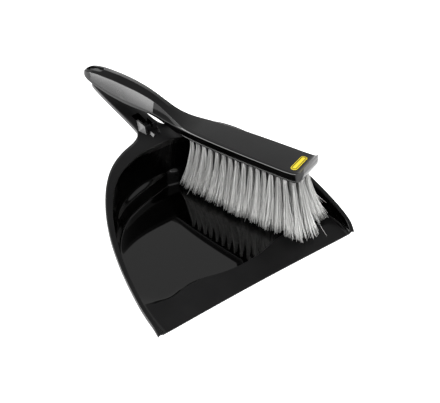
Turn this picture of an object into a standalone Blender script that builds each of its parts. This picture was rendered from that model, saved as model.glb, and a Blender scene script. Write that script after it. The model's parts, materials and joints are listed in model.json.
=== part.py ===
"""Dustpan with the hand brush lying in it, in metres, +Z up, +X along the lip, +Y towards the handles.
The origin is on the flat underside of the pan. Lengths below are in millimetres and become metres in MM."""

import math

import bmesh
import bpy
from mathutils import Matrix, Vector

MM = 0.001

# ---- Dustpan. Every D is a distance behind the front lip, every X a distance from the middle.
LIP_Y = -80.0
WALL = 1.8
FLOOR_Z = 1.6
LIP_Z = 1.2
RIDGE_Z = 4.2
RIDGE_DROP = 1.6
RIM_HEIGHT = ((0, 2.4), (1.2, 6.0), (3, 8.2), (6, 9.8), (12, 11.8), (50, 23.5), (100, 39), (130, 48.5))
RIM_HEIGHT += ((150, 54.5), (163, 58.4), (175, 59.6), (190, 59.0), (210, 58.2))
# Mouth of the well, from the front corner round to the middle of the back, as (X, D).
MOUTH_SIDE = ((109.8, 0), (110.6, 6), (111.2, 14), (111.2, 22), (110.8, 30), (110.0, 38), (108.8, 48))
MOUTH_SIDE += ((107.2, 58), (105.0, 69), (102.0, 80), (98.4, 92), (93.6, 104), (87.4, 117), (80.0, 129))
MOUTH_SIDE += ((71.4, 140), (61.2, 149))
MOUTH_BACK = ((54.5, 153.0), (47.5, 156.4), (40.0, 159.2), (32.5, 161.2), (25.0, 162.4), (18.8, 163.0))
MOUTH_BACK += ((12.5, 163.4), (6.2, 163.6), (0.0, 163.6))
FLANGE_SIDE = (3.6, 3.6, 3.6, 3.6, 3.6, 3.6, 3.7, 3.8, 4.1, 4.5, 5.0, 5.4, 5.9, 6.6, 7.8, 9.4)
FLANGE_BACK = (10.6, 11.9, 13.2, 14.4, 15.6)
NECK_AT_FLANGE = ((21.0, 181.2), (14.0, 182.6), (7.0, 183.2), (0.0, 183.4))
# Plan line of the back of the ramp, as (X, D).
RIDGE = ((0, 26), (20, 27.2), (34, 31), (46, 35), (56, 36.2), (66, 33.6), (76, 29.6), (84, 28.6), (92, 32))
RIDGE += ((99, 38), (104, 43))
RIDGE_RIGHT = ((0, 26), (20, 27.2), (34, 31), (46, 35), (56, 36), (64, 33), (72, 28.6), (80, 24.4), (88, 22))
RIDGE_RIGHT += ((96, 21.4), (110, 21.2))
# The lip bows back in the middle: (by how much, X where that ends).
LIP_BOW = (1.6, 108)
RAMP_SHARES = (0.0, 0.12, 0.45, 0.85, 1.0)
# How much less each row behind the ramp follows its back line.
FOLLOW_STEP = 0.34
WALL_LEAN = (2.2, 3.6)
FILLET = (3.0, 6.0)
FILLET_STEPS = 4
FILLET_MOST = 0.6
# Rounded inner edge of the rim: how far in, how far down, and its largest share of the wall's height.
RIM_EDGE = (0.32, 0.8, 0.3)
RIM_END = 181
FLANGE_FALL = 0.2
HEM_DROP = 2.6
SKIRT_DROP = 4.0
# Rings of the turned edge, as (outwards, share of the drop), and the largest drop of the inner rings.
HEM_RINGS = ((0.33, 0.12), (0.6, 0.35), (0.85, 1.0))
HEM_BEND_MOST = 0.9
# The turned edge keeps off the ground: (share of the height above it, least height).
HEM_CLEAR = (0.7, 0.5)
# The edge grows into the handle's skirt from this D, over this length.
SKIRT_SPAN = (178.0, 25.0)
# Handle of the pan: (D, half width), then a half round end.
HANDLE = ((184.6, 16.6), (188.5, 13.9), (193, 12.2), (199, 11.4), (207, 11.0), (218, 10.8), (231, 10.7))
HANDLE += ((244, 10.6), (257, 10.3), (269, 9.9), (279, 9.3))
HANDLE_END = (287.0, 8.8)
HANDLE_CROWN = 1.2
HANDLE_Z = ((181, 59.4), (200, 58.6), (240, 58.2), (300, 56.0))
# Collar on the neck, open at the top over a blind pocket: X from and to, and its side view as (D, Z).
COLLAR_X = (-6.9, 6.3)
COLLAR_PROFILE = ((185.1, 49.6), (185.1, 65.6), (198.3, 64.6), (198.3, 58.3), (217.3, 58.3), (217.3, 49.6))
# Boxes as (X from, X to, D from, D to).
POCKET = (-5.1, 3.2, 187.4, 215.4)
POCKET_FLOOR = 51.4
COLLAR_SLIT = (-0.3, 1.7, 183.0, 188.4)
SLIT_FROM = 60.6
NECK_CUT_TOP = 80.0
# Dip in the rim on the right of the neck: (middle X, half reach, depth, D of its start, length of its growth).
SADDLE = (27.0, 21.0, 5.0, 150.0, 10.0)
# Hanging slot as (X, D, radius, half length), and the height and half depth of its cutter.
PAN_HOLE = (0.0, 282.5, 3.8, 7.0)
PAN_HOLE_CUT = (58, 20)
SLOT_STEPS = 10
GROUND_TRIM = ((-200, LIP_Y - 50, -20), (200, LIP_Y + 400, 0))

# ---- Brush, in its own frame: +Y towards its handle, Z = 0 on the face that holds the tufts.
BRUSH_AT = (72.3, 38.2, 73.0)
BRUSH_YAW = 19.5
BRUSH_PITCH = 5.0
# (Y, half width, bottom, top of the side, shoulder share of the half width, crown)
BLOCK = (
    (-11.6, 12.4, 11.0, 18.0, 0.97, 18.3),
    (-10.8, 14.0, 7.0, 16.2, 0.97, 16.6),
    (-8.6, 15.6, 2.4, 13.4, 0.96, 14.0),
    (-5.0, 16.8, 0.3, 11.5, 0.95, 12.2),
    (0.0, 17.4, 0.0, 10.6, 0.94, 11.6),
    (10.0, 17.6, 0.0, 10.2, 0.93, 11.3),
    (35.0, 17.4, 0.0, 10.2, 0.93, 11.3),
    (65.0, 16.8, 0.0, 10.2, 0.92, 11.3),
    (95.0, 15.6, 0.0, 10.0, 0.91, 11.2),
    (117.0, 14.0, 0.0, 9.4, 0.90, 11.2),
    (130.0, 12.4, 0.2, 8.8, 0.86, 12.2),
    (142.0, 10.8, 1.6, 8.0, 0.78, 15.2),
    (152.0, 9.8, 4.6, 8.6, 0.70, 19.8),
    (162.0, 9.9, 8.6, 11.2, 0.62, 25.2),
    (174.0, 10.8, 11.8, 14.2, 0.58, 30.2),
    (188.0, 12.0, 13.6, 16.2, 0.58, 34.0),
    (204.0, 12.6, 15.4, 18.0, 0.60, 36.4),
    (220.0, 12.4, 17.8, 20.2, 0.62, 37.6),
    (236.0, 11.4, 21.2, 23.4, 0.66, 37.4),
    (248.0, 10.2, 23.8, 25.8, 0.72, 35.8),
    (255.0, 8.4, 25.4, 27.3, 0.80, 34.0),
    (259.0, 6.2, 26.6, 28.1, 0.86, 32.2),
    (261.4, 3.2, 27.6, 28.8, 0.90, 30.6),
)
# Rounds of its section: half width of the flat bottom, then (length, largest share of what it cuts into).
BOTTOM_FLAT = 0.45
BOTTOM_IN = (1.6, 0.2)
BOTTOM_EDGE = (0.3, 0.8, 0.2)
BOTTOM_UP = (2.4, 0.45)
SIDE_DOWN = (1.6, 0.3)
SIDE_LEAN = 0.02
SHOULDER_FOOT = (0.25, 0.05)
SHOULDER_IN = 0.35
SHOULDER_RISE = 0.84
SHOULDER_TOP = 0.955
TOP_AT = 0.62
# Hanging slot as (Y, radius, half length), and the height and half depth of its cutter.
BRUSH_HOLE = (246.8, 3.8, 11.4)
BRUSH_HOLE_CUT = (28, 14)
BADGE_AT = (-1.0, 0.8)
BADGE_SIZE = (21.6, 7.0, 0.7)
BADGE_CORNER = 1.6
BADGE_SINK = 0.35
BADGE_GAP = 0.3
RECESS_TOP = 6.0

# ---- Tufts: rows as (X of the row, Y of the first tuft, pitch, how many, splay sideways, splay at the back).
TUFT_ROWS = (
    (-13.0, 1.0, 7.9, 16, -14.5, 5.0),
    (-4.6, -2.4, 10.3, 12, -4.6, 2.0),
    (4.6, 2.6, 10.3, 12, 4.6, -5.0),
    (13.0, 1.0, 7.9, 16, 14.5, -12.0),
)
WALL_FROM = 30.0
WALL_PUSH = 0.0146
FRONT_SPLAY = 17.0
FRONT_REACH = 34.0
BACK_REACH = 60.0
TIP_SHIFT = (3.2, 2.7)
FIELD = (-3.0, 121.0)
TUFT_ROOT_R = 1.6
TUFT_TIP_R = 2.8
TUFT_SIDES = 8
TUFT_BEND = 1.25
TUFT_KNEE = 0.35
HOLE_GAP = 0.3
HOLE_DEPTH = 5.0
HOLE_BELOW = 4.0
CORNER_PULL = 1.6
OUTER_ROW = 10
# The rows draw together along the head: (share, Y where it starts, length).
ROW_TAPER = (0.16, 60.0, 60.0)
FRONT_EASE = 0.35
TIP_CLEAR = 4.6
TIP_SEARCH = (-70.0, -30.0, 30)

# ---- Colours, as (linear colour, roughness)
BLACK = ((0.012, 0.012, 0.013, 1), 0.25)
GREY = ((0.42, 0.42, 0.41, 1), 0.7)
YELLOW = ((0.80, 0.62, 0.02, 1), 0.4)


def material(name, look):
    made = bpy.data.materials.new(name)
    made.use_nodes = True
    shader = made.node_tree.nodes["Principled BSDF"]
    shader.inputs["Base Color"].default_value = look[0]
    shader.inputs["Roughness"].default_value = look[1]
    shader.inputs["Metallic"].default_value = 0.0
    return made


def collection(name):
    made = bpy.data.collections.new(name)
    bpy.context.scene.collection.children.link(made)
    return made


def add(name, bm, where, look=None):
    """A new object from a bmesh built in millimetres, its normals facing out."""
    bmesh.ops.recalc_face_normals(bm, faces=bm.faces)
    mesh = bpy.data.meshes.new(name)
    bm.to_mesh(mesh)
    bm.free()
    mesh.transform(Matrix.Scale(MM, 4))
    made = bpy.data.objects.new(name, mesh)
    where.objects.link(made)
    if look:
        mesh.materials.append(look)
    return made


def between(table, at):
    """Straight-line value of a table of (place, value) pairs."""
    if at <= table[0][0]:
        return table[0][1]
    for (a, low), (b, high) in zip(table, table[1:]):
        if at <= b:
            return low + (high - low) * (at - a) / (b - a)
    return table[-1][1]


def rounded(table, at, reach=4.0):
    """The same value averaged over a short reach, which rounds the corners of the table."""
    steps = 9
    shifts = (reach * (2 * k / (steps - 1) - 1) for k in range(steps))
    return sum(between(table, abs(at + shift)) for shift in shifts) / steps


def rim_z(d):
    return between(RIM_HEIGHT, d)


def dip(x, d):
    """How far the rim drops at a point of the saddle."""
    middle, reach, depth, start, growth = SADDLE
    off = min(abs(x - middle) / reach, 1.0)
    along = min(max((d - start) / growth, 0.0), 1.0)
    return depth * along * 0.5 * (1 + math.cos(math.pi * off))


def pan_point(x, d, z):
    return Vector((x, LIP_Y + d, z))


# ---------------------------------------------------------------- dustpan


def mouth_line():
    """The mouth of the well from the front left corner round to the front right, with the flange widths."""
    half = [(x, d, w) for (x, d), w in zip(MOUTH_SIDE, FLANGE_SIDE)]
    flange = list(FLANGE_BACK) + [0.0] * (len(MOUTH_BACK) - len(FLANGE_BACK))
    half += [(x, d, w) for (x, d), w in zip(MOUTH_BACK, flange)]
    left = [(-x, d, w) for x, d, w in half]
    return left + [(x, d, w) for x, d, w in half[-2::-1]]


def outwards(line, i):
    """Unit plan normal of the mouth line at a point, away from the well."""
    a = line[max(i - 1, 0)]
    b = line[min(i + 1, len(line) - 1)]
    dx, dy = b[0] - a[0], b[1] - a[1]
    size = math.hypot(dx, dy)
    return -dy / size, dx / size


def wall_chain(line, i):
    """From the mouth down to the floor at one point of the line: mouth, wall, fillet, foot, as points."""
    x, d, _ = line[i]
    nx, ny = outwards(line, i)
    share = min(d / MOUTH_BACK[-1][1], 1.0)
    lean = WALL_LEAN[0] + (WALL_LEAN[1] - WALL_LEAN[0]) * share
    radius = FILLET[0] + (FILLET[1] - FILLET[0]) * share
    top = rim_z(d) - dip(x, d)
    foot = floor_z(x, d)
    radius = min(radius, FILLET_MOST * (top - foot))
    inset, down, most = RIM_EDGE
    chain = [pan_point(x, d, top)]
    chain.append(pan_point(x - nx * inset, d - ny * inset, top - min(down, most * (top - foot))))
    for k in range(FILLET_STEPS + 1):
        turn = 0.5 * math.pi * k / FILLET_STEPS
        inward = lean + radius * (1 - math.cos(turn))
        height = foot + radius * (1 - math.sin(turn))
        px, pd = x - nx * inward, d - ny * inward
        chain.append(pan_point(px, max(pd, 0.0), height))
    return chain


def ridge_d(x):
    return rounded(RIDGE_RIGHT if x > 0 else RIDGE, x)


def floor_z(x, d):
    """Height of the ramp and the floor behind it."""
    ridge = ridge_d(x)
    if d <= ridge:
        return LIP_Z + (RIDGE_Z - LIP_Z) * d / ridge
    share = min((d - ridge) / RIDGE_DROP, 1.0)
    return RIDGE_Z + (FLOOR_Z - RIDGE_Z) * share


def outer_point(line, i):
    """Outer edge of the flange."""
    x, d, width = line[i]
    if width:
        nx, ny = outwards(line, i)
        px, pd = x + nx * width, max(d + ny * width, 0.0)
        return pan_point(px, pd, rim_z(min(pd, RIM_END)) - FLANGE_FALL - dip(px, pd))
    k = round(abs(i - len(line) // 2))
    px, pd = NECK_AT_FLANGE[len(NECK_AT_FLANGE) - 1 - k]
    px = math.copysign(px, x)
    return pan_point(px, pd, between(HANDLE_Z, pd) - dip(px, pd))


def handle_rows():
    """Rows of seven points across the handle of the pan, the last one round its end."""
    shares = [k / 3 for k in range(-3, 4)]
    rows = []
    for d, half in HANDLE:
        z = between(HANDLE_Z, d)
        crown = HANDLE_CROWN * min((d - HANDLE[0][0]) / 20.0, 1.0)
        rows.append([pan_point(half * s, d, z + crown * (1 - s * s)) for s in shares])
    d, half = HANDLE_END
    z = between(HANDLE_Z, d)
    rows.append([pan_point(half * math.sin(0.5 * math.pi * s), d + half * math.cos(0.5 * math.pi * s), z)
                 for s in shares])
    return rows


def quads(bm, row_a, row_b):
    for a0, a1, b1, b0 in zip(row_a, row_a[1:], row_b[1:], row_b):
        corners = [a0, a1, b1, b0]
        kept = [v for k, v in enumerate(corners) if v is not corners[k - 1]]
        if len(kept) > 2:
            bm.faces.new(kept)


def pan_sheet():
    """The whole inner and top skin of the pan as one open sheet."""
    bm = bmesh.new()
    line = mouth_line()
    count = len(line)
    sides = len(MOUTH_SIDE)
    chains = [[bm.verts.new(p) for p in wall_chain(line, i)] for i in range(count)]
    for a, b in zip(chains, chains[1:]):
        quads(bm, a, b)
    fill_floor(bm, chains, sides)
    flange_and_handle(bm, line, chains)
    return bm


def fill_floor(bm, chains, sides):
    """Ramp and floor between the feet of the walls. Each row ends on the feet of one station."""
    count = len(chains)
    back = [chains[i][-1] for i in range(sides - 1, count - sides + 1)]
    columns = len(back) - 1
    rows = []
    for j in range(sides - 1):
        left, right = chains[j][-1], chains[count - 1 - j][-1]
        row = [left]
        for c in range(1, columns):
            row.append(bm.verts.new(floor_place(left.co, right.co, c / columns, j)))
        rows.append(row + [right])
    rows.append(back)
    for a, b in zip(rows, rows[1:]):
        quads(bm, a, b)


def floor_place(left, right, share, row):
    """Place of a floor point. The front rows follow the back line of the ramp, the rest straighten out."""
    x = left.x + (right.x - left.x) * share
    straight = left.y - LIP_Y
    if row < len(RAMP_SHARES):
        bow, reach = LIP_BOW
        bowed = bow * (1 - (x / reach) ** 2)
        d = bowed + RAMP_SHARES[row] * (ridge_d(x) - bowed)
    elif row == len(RAMP_SHARES):
        d = ridge_d(x) + RIDGE_DROP
    else:
        follow = max(0.0, 1.0 - FOLLOW_STEP * (row - len(RAMP_SHARES)))
        d = straight + follow * (ridge_d(x) - ridge_d(left.x))
    return pan_point(x, d, floor_z(x, d))


def flange_and_handle(bm, line, chains):
    count = len(line)
    middle = count // 2
    outer = [bm.verts.new(outer_point(line, i)) for i in range(count)]
    tops = [chain[0] for chain in chains]
    quads(bm, outer, tops)
    grip = handle_rows()
    rows = [outer[middle - 3:middle + 4]]
    rows += [[bm.verts.new(p) for p in row] for row in grip]
    for a, b in zip(rows, rows[1:]):
        quads(bm, b, a)
    left = [row[0] for row in rows[1:]]
    right = [row[-1] for row in rows[1:]]
    end = rows[-1][1:-1]
    edge = outer[:middle - 2] + left + end + right[::-1] + outer[middle + 3:]
    hem(bm, edge)


def hem(bm, edge):
    """Turns the outer edge down: a little on the flange, deep on the handle."""
    top = edge
    points = [v.co.copy() for v in edge]
    start, growth = SKIRT_SPAN
    above, least = HEM_CLEAR
    for out, share in HEM_RINGS:
        ring = []
        for k, p in enumerate(points):
            a = points[max(k - 1, 0)]
            b = points[min(k + 1, len(points) - 1)]
            run = Vector((b.x - a.x, b.y - a.y, 0)).normalized()
            away = Vector((-run.y, run.x, 0))
            d = p.y - LIP_Y
            grip = min(max((d - start) / growth, 0.0), 1.0)
            drop = HEM_DROP + (SKIRT_DROP - HEM_DROP) * grip
            drop = share * min(drop, above * max(p.z, least))
            if share < 1.0:
                drop = min(drop, HEM_BEND_MOST)
            place = p + away * out - Vector((0, 0, drop))
            place.y = max(place.y, LIP_Y)
            ring.append(bm.verts.new(place))
        quads(bm, ring, top)
        top = ring


def make_box(name, low, high, where):
    bm = bmesh.new()
    bmesh.ops.create_cube(bm, size=1.0)
    size = Vector(high) - Vector(low)
    middle = (Vector(high) + Vector(low)) / 2
    bmesh.ops.scale(bm, vec=size, verts=bm.verts)
    bmesh.ops.translate(bm, vec=middle, verts=bm.verts)
    made = add(name, bm, where)
    hide(made)
    return made


def hide(obj):
    obj.hide_render = True
    obj.display_type = "WIRE"


def boolean(obj, other, operation):
    cut = obj.modifiers.new(operation.title() + "_" + other.name, "BOOLEAN")
    cut.operation = operation
    cut.solver = "EXACT"
    cut.object = other
    return cut


def slot_hole(name, centre, radius, half, depth, where):
    """A round-ended slot cutter, long in Y."""
    bm = bmesh.new()
    ring = []
    for k in range(SLOT_STEPS + 1):
        turn = math.pi * k / SLOT_STEPS
        ring.append((centre.x + radius * math.cos(turn), centre.y + half - radius + radius * math.sin(turn)))
    for k in range(SLOT_STEPS + 1):
        turn = math.pi + math.pi * k / SLOT_STEPS
        ring.append((centre.x + radius * math.cos(turn), centre.y - half + radius + radius * math.sin(turn)))
    low = [bm.verts.new((x, y, centre.z - depth)) for x, y in ring]
    face = bm.faces.new(low)
    grown = bmesh.ops.extrude_face_region(bm, geom=[face])
    moved = [g for g in grown["geom"] if isinstance(g, bmesh.types.BMVert)]
    bmesh.ops.translate(bm, vec=(0, 0, 2 * depth), verts=moved)
    made = add(name, bm, where)
    hide(made)
    return made


def collar_block(where):
    """Solid block of the collar and of the cup under it."""
    bm = bmesh.new()
    sides = [[bm.verts.new(pan_point(x, d, z)) for d, z in COLLAR_PROFILE] for x in COLLAR_X]
    for side in sides:
        bm.faces.new(side)
    quads(bm, sides[0] + sides[0][:1], sides[1] + sides[1][:1])
    made = add("collar_block", bm, where)
    hide(made)
    return made


def neck_box(name, span, low, where):
    """A cutter on the neck, from (X from, X to, D from, D to) and the height it starts at."""
    x0, x1, d0, d1 = span
    return make_box(name, (x0, LIP_Y + d0, low), (x1, LIP_Y + d1, NECK_CUT_TOP), where)


def dustpan(where, cutters, look):
    pan = add("pan_body", pan_sheet(), where, look)
    shell = pan.modifiers.new("Shell", "SOLIDIFY")
    shell.thickness = WALL * MM
    shell.offset = -1.0
    shell.use_even_offset = True
    shell.thickness_clamp = 1.0
    pan.modifiers.new("Triangles", "TRIANGULATE")
    boolean(pan, collar_block(cutters), "UNION")
    boolean(pan, neck_box("pocket", POCKET, POCKET_FLOOR, cutters), "DIFFERENCE")
    boolean(pan, neck_box("collar_slit", COLLAR_SLIT, SLIT_FROM, cutters), "DIFFERENCE")
    x, d, radius, half = PAN_HOLE
    z, depth = PAN_HOLE_CUT
    hole = slot_hole("pan_hanging_hole", pan_point(x, d, z), radius, half, depth, cutters)
    boolean(pan, hole, "DIFFERENCE")
    ground = make_box("ground_trim", *GROUND_TRIM, cutters)
    boolean(pan, ground, "DIFFERENCE")
    return pan


# ---------------------------------------------------------------- brush


def section(station):
    """One closed cross-section of the brush block, counted round from the middle of the bottom."""
    y, half, low, side, share, crown = station
    tall = side - low
    shoulder = half * share
    step = half - shoulder
    rise = crown - side
    right = (
        (BOTTOM_FLAT * half, low),
        (half - min(BOTTOM_IN[0], BOTTOM_IN[1] * half), low),
        (half - BOTTOM_EDGE[0], low + min(BOTTOM_EDGE[1], BOTTOM_EDGE[2] * tall)),
        (half, low + min(BOTTOM_UP[0], BOTTOM_UP[1] * tall)),
        (half - SIDE_LEAN * step, side - min(SIDE_DOWN[0], SIDE_DOWN[1] * tall)),
        (half - SHOULDER_FOOT[0] * step - SHOULDER_IN, side + SHOULDER_FOOT[1] * rise),
        (shoulder - SHOULDER_IN, side + SHOULDER_RISE * rise),
        (TOP_AT * shoulder, side + SHOULDER_TOP * rise),
    )
    points = [Vector((0, y, low))]
    points += [Vector((x, y, z)) for x, z in right]
    points.append(Vector((0, y, crown)))
    points += [Vector((-x, y, z)) for x, z in reversed(right)]
    return points


def block_body(look, where):
    """Head, neck and handle of the brush as one loft along Y."""
    bm = bmesh.new()
    rings = [[bm.verts.new(p) for p in section(station)] for station in BLOCK]
    for a, b in zip(rings, rings[1:]):
        quads(bm, a + a[:1], b + b[:1])
    bm.faces.new(rings[0])
    bm.faces.new(rings[-1])
    return add("brush_block", bm, where, look)


def badge_outline(grow):
    """Corner points of the badge, grown all round."""
    width, length, _ = BADGE_SIZE
    half_x, half_y = width / 2 + grow, length / 2 + grow
    radius = BADGE_CORNER + grow
    points = []
    for cx, cy, start in ((1, 1, 0), (-1, 1, 90), (-1, -1, 180), (1, -1, 270)):
        for k in range(4):
            turn = math.radians(start + 30 * k)
            points.append((cx * (half_x - radius) + radius * math.cos(turn),
                           cy * (half_y - radius) + radius * math.sin(turn)))
    return points


def deck_z(x, y):
    """Height of the top of the head, from the same table as its loft."""
    crown = between([(s[0], s[5]) for s in BLOCK], y)
    side = between([(s[0], s[3]) for s in BLOCK], y)
    half = between([(s[0], s[1]) for s in BLOCK], y)
    share = between([(s[0], s[4]) for s in BLOCK], y)
    knots = ((0.0, crown), (TOP_AT * share * half, side + SHOULDER_TOP * (crown - side)))
    knots += ((share * half - SHOULDER_IN, side + SHOULDER_RISE * (crown - side)), (half, side))
    return between(knots, abs(x))


def badge_solid(name, grow, low, high, where, look=None):
    """A thin plate that follows the top of the head, from low to high above it."""
    bm = bmesh.new()
    outline = badge_outline(grow)
    cx, cy = BADGE_AT
    bottom = [bm.verts.new((cx + x, cy + y, deck_z(cx + x, cy + y) + low)) for x, y in outline]
    top = [bm.verts.new((cx + x, cy + y, deck_z(cx + x, cy + y) + high)) for x, y in outline]
    middle_low = bm.verts.new((cx, cy, deck_z(cx, cy) + low))
    middle_high = bm.verts.new((cx, cy, deck_z(cx, cy) + high))
    for a, b, c, d in zip(bottom, bottom[1:] + bottom[:1], top[1:] + top[:1], top):
        bm.faces.new((a, b, c, d))
        bm.faces.new((middle_low, b, a))
        bm.faces.new((middle_high, d, c))
    return add(name, bm, where, look)


def tuft_places():
    """Root, tip and name of every tuft, in the brush's own frame."""
    places = []
    letters = "abcd"
    for r, (row_x, first, pitch, count, splay, trail) in enumerate(TUFT_ROWS):
        for n in range(count):
            y = first + pitch * n
            x = row_x
            if abs(row_x) > OUTER_ROW and n == 0:
                x -= math.copysign(CORNER_PULL, row_x)
            draw, start, length = ROW_TAPER
            x *= 1.0 - draw * max(0.0, (y - start) / length)
            front = max(0.0, 1.0 - (y - FIELD[0]) / FRONT_REACH)
            back = max(0.0, 1.0 - (FIELD[1] - y) / BACK_REACH)
            wall = WALL_PUSH * max(0.0, y - WALL_FROM) * max(0.0, row_x)
            tip_x = x + splay * (1.0 - FRONT_EASE * front) - wall + TIP_SHIFT[0]
            tip_y = y - FRONT_SPLAY * front * front + trail * back + TIP_SHIFT[1]
            places.append(("tuft_%s%02d" % (letters[r], n + 1), Vector((x, y, 0)), (tip_x, tip_y)))
    return places


def brush_matrix():
    x, d, z = BRUSH_AT
    place = Matrix.Translation(Vector((x, LIP_Y + d, z)) * MM)
    turn = Matrix.Rotation(math.radians(BRUSH_YAW), 4, "Z")
    tip = Matrix.Rotation(math.radians(-BRUSH_PITCH), 4, "X")
    return place @ turn @ tip


def tip_height(tip_x, tip_y):
    """Z of a tuft's end in the brush's own frame, so that it stays just above the pan."""
    matrix = brush_matrix()
    low, high, rounds = TIP_SEARCH
    for _ in range(rounds):
        middle = 0.5 * (low + high)
        world = matrix @ Vector((tip_x * MM, tip_y * MM, middle * MM))
        if world.z / MM > TIP_CLEAR:
            high = middle
        else:
            low = middle
    return high


def tuft_rings(root, tip):
    """Rings of one tuft: in its hole, at the face of the block, part way down and at the tip."""
    end = Vector((tip[0], tip[1], tip_height(*tip)))
    top = Vector((root.x, root.y, HOLE_DEPTH - HOLE_GAP))
    shares = ((0.0, TUFT_ROOT_R), (TUFT_KNEE, 0.5 * (TUFT_ROOT_R + TUFT_TIP_R)), (1.0, TUFT_TIP_R))
    rings = [(top, TUFT_ROOT_R)]
    for share, radius in shares:
        bend = share ** TUFT_BEND
        middle = Vector((root.x + (end.x - root.x) * bend, root.y + (end.y - root.y) * bend, end.z * share))
        rings.append((middle, radius))
    return rings


def tuft(name, root, tip, where, look):
    bm = bmesh.new()
    loops = []
    for middle, radius in tuft_rings(root, tip):
        loop = []
        for k in range(TUFT_SIDES):
            turn = 2 * math.pi * (k + 0.5) / TUFT_SIDES
            loop.append(bm.verts.new(middle + Vector((radius * math.cos(turn), radius * math.sin(turn), 0))))
        loops.append(loop)
    for a, b in zip(loops, loops[1:]):
        quads(bm, a + a[:1], b + b[:1])
    bm.faces.new(loops[0])
    bm.faces.new(loops[-1])
    return add(name, bm, where, look)


def tuft_holes(places, where):
    bm = bmesh.new()
    radius = TUFT_ROOT_R + HOLE_GAP
    for _, root, _ in places:
        made = bmesh.ops.create_cone(bm, cap_ends=True, segments=TUFT_SIDES, radius1=radius, radius2=radius,
                                     depth=HOLE_DEPTH + HOLE_BELOW)
        turn = Matrix.Rotation(math.pi / TUFT_SIDES, 3, "Z")
        bmesh.ops.rotate(bm, cent=(0, 0, 0), matrix=turn, verts=made["verts"])
        middle = (root.x, root.y, (HOLE_DEPTH - HOLE_BELOW) / 2)
        bmesh.ops.translate(bm, vec=middle, verts=made["verts"])
    holes = add("tuft_holes", bm, where)
    hide(holes)
    return holes


def brush(where, cutters, black, grey, yellow):
    anchor = bpy.data.objects.new("brush_lift_axis", None)
    where.objects.link(anchor)
    anchor.matrix_world = brush_matrix()
    places = tuft_places()
    block = block_body(black, where)
    badge_cut = badge_solid("badge_recess", BADGE_GAP, -BADGE_SINK - BADGE_GAP, RECESS_TOP, cutters)
    hide(badge_cut)
    y, radius, half = BRUSH_HOLE
    z, depth = BRUSH_HOLE_CUT
    eye = slot_hole("brush_hanging_hole", Vector((0, y, z)), radius, half, depth, cutters)
    holes = tuft_holes(places, cutters)
    helpers = [badge_cut, eye, holes]
    for helper in helpers:
        boolean(block, helper, "DIFFERENCE")
    badge = badge_solid("badge", 0.0, -BADGE_SINK, BADGE_SIZE[2] - BADGE_SINK, where, yellow)
    tufts = [tuft(name, root, tip, where, grey) for name, root, tip in places]
    for obj in [block, badge, *tufts, *helpers]:
        obj.parent = anchor


def main():
    for obj in list(bpy.data.objects):
        bpy.data.objects.remove(obj)
    parts = collection("dustpan_and_brush")
    cutters = collection("cutters")
    black = material("black_plastic", BLACK)
    grey = material("grey_bristle", GREY)
    yellow = material("yellow_badge", YELLOW)
    dustpan(parts, cutters, black)
    brush(parts, cutters, black, grey, yellow)


main()
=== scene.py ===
"""Dustpan and hand brush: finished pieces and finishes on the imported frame.
Lengths in the tables are millimetres, and D is a distance behind the front lip of the pan."""

import json
import math
import random

import bmesh
import bpy
from mathutils import Matrix, Vector

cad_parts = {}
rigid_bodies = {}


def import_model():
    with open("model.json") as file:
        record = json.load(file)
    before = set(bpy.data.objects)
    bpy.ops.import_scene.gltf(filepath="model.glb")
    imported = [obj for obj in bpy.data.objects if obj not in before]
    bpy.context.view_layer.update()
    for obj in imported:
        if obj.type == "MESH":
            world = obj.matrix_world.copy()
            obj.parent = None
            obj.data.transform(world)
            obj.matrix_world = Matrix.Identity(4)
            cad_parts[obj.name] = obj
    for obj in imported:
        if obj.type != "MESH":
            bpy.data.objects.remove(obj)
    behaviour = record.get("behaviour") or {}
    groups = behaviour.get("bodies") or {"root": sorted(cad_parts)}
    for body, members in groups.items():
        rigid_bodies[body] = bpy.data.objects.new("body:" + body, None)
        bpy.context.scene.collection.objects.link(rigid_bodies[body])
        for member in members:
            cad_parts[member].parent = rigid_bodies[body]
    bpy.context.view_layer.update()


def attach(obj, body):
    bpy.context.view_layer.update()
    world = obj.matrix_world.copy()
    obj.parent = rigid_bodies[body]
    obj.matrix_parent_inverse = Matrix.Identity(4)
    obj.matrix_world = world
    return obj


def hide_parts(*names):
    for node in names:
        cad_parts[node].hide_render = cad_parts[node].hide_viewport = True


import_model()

MM = 0.001

# ---- Dustpan. Every table is of (X, D) or (D, value) unless it says otherwise.
LIP_Y = -80.0
WALL = 1.8
FLOOR_Z = 1.6
LIP_Z = 1.2
RIDGE_Z = 4.2
RIDGE_DROP = 1.6
RIM_HEIGHT = ((0, 2.4), (1.2, 6.0), (3, 8.2), (6, 9.8), (12, 11.8), (50, 23.5), (100, 39), (130, 48.5))
RIM_HEIGHT += ((150, 54.5), (163, 58.4), (175, 59.6), (190, 59.0), (210, 58.2))
# Mouth of the well, from the front corner round to the middle of the back, and the flange's width along it.
MOUTH_SIDE = ((109.8, 0), (110.6, 6), (111.2, 14), (111.2, 22), (110.8, 30), (110.0, 38), (108.8, 48))
MOUTH_SIDE += ((107.2, 58), (105.0, 69), (102.0, 80), (98.4, 92), (93.6, 104), (87.4, 117), (80.0, 129))
MOUTH_SIDE += ((71.4, 140), (61.2, 149))
MOUTH_BACK = ((54.5, 153.0), (47.5, 156.4), (40.0, 159.2), (32.5, 161.2), (25.0, 162.4), (18.8, 163.0))
MOUTH_BACK += ((12.5, 163.4), (6.2, 163.6), (0.0, 163.6))
FLANGE_SIDE = (3.6, 3.6, 3.6, 3.6, 3.6, 3.6, 3.7, 3.8, 4.1, 4.5, 5.0, 5.4, 5.9, 6.6, 7.8, 9.4)
FLANGE_BACK = (10.6, 11.9, 13.2, 14.4, 15.6)
NECK_AT_FLANGE = ((21.0, 181.2), (14.0, 182.6), (7.0, 183.2), (0.0, 183.4))
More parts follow.
